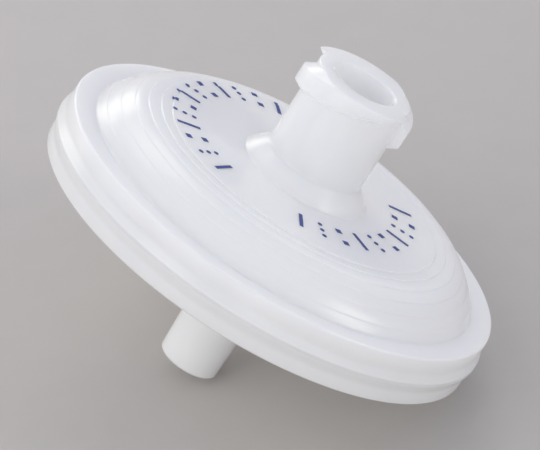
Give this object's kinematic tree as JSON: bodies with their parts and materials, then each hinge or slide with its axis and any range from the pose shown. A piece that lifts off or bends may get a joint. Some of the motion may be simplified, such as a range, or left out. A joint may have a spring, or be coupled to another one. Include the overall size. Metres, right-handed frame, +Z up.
{
  "type": "syringe filter",
  "caption": "Round syringe filter of milky moulded plastic: a Luer-lock inlet column on a domed disc housing, a slim tapered outlet tip below, and a membrane with a prefilter sealed inside.",
  "frame": {"origin": "under the middle of the part, on the surface that it lies on", "axes": "+Z up. The filter lies at rest on the edge of its outlet tip and of its rim's foot, so the flow axis leans 32.9 degrees from +Z towards +X, the side of the rim that touches, with the inlet up. +Y is across the lean."},
  "size_m": [0.0274, 0.031, 0.0215],
  "materials": {
    "natural_polypropylene": "satin, milky and a little translucent",
    "printing_ink": "thin satin pad-printing ink",
    "filter_membrane": "smooth white porous film",
    "glass_fibre": "soft white fibre mat"
  },
  "bodies": {
    "root": {"inlet_half": "natural_polypropylene", "outlet_half": "natural_polypropylene", "membrane_disc": "filter_membrane", "prefilter_disc": "glass_fibre"}
  },
  "joints": []
}
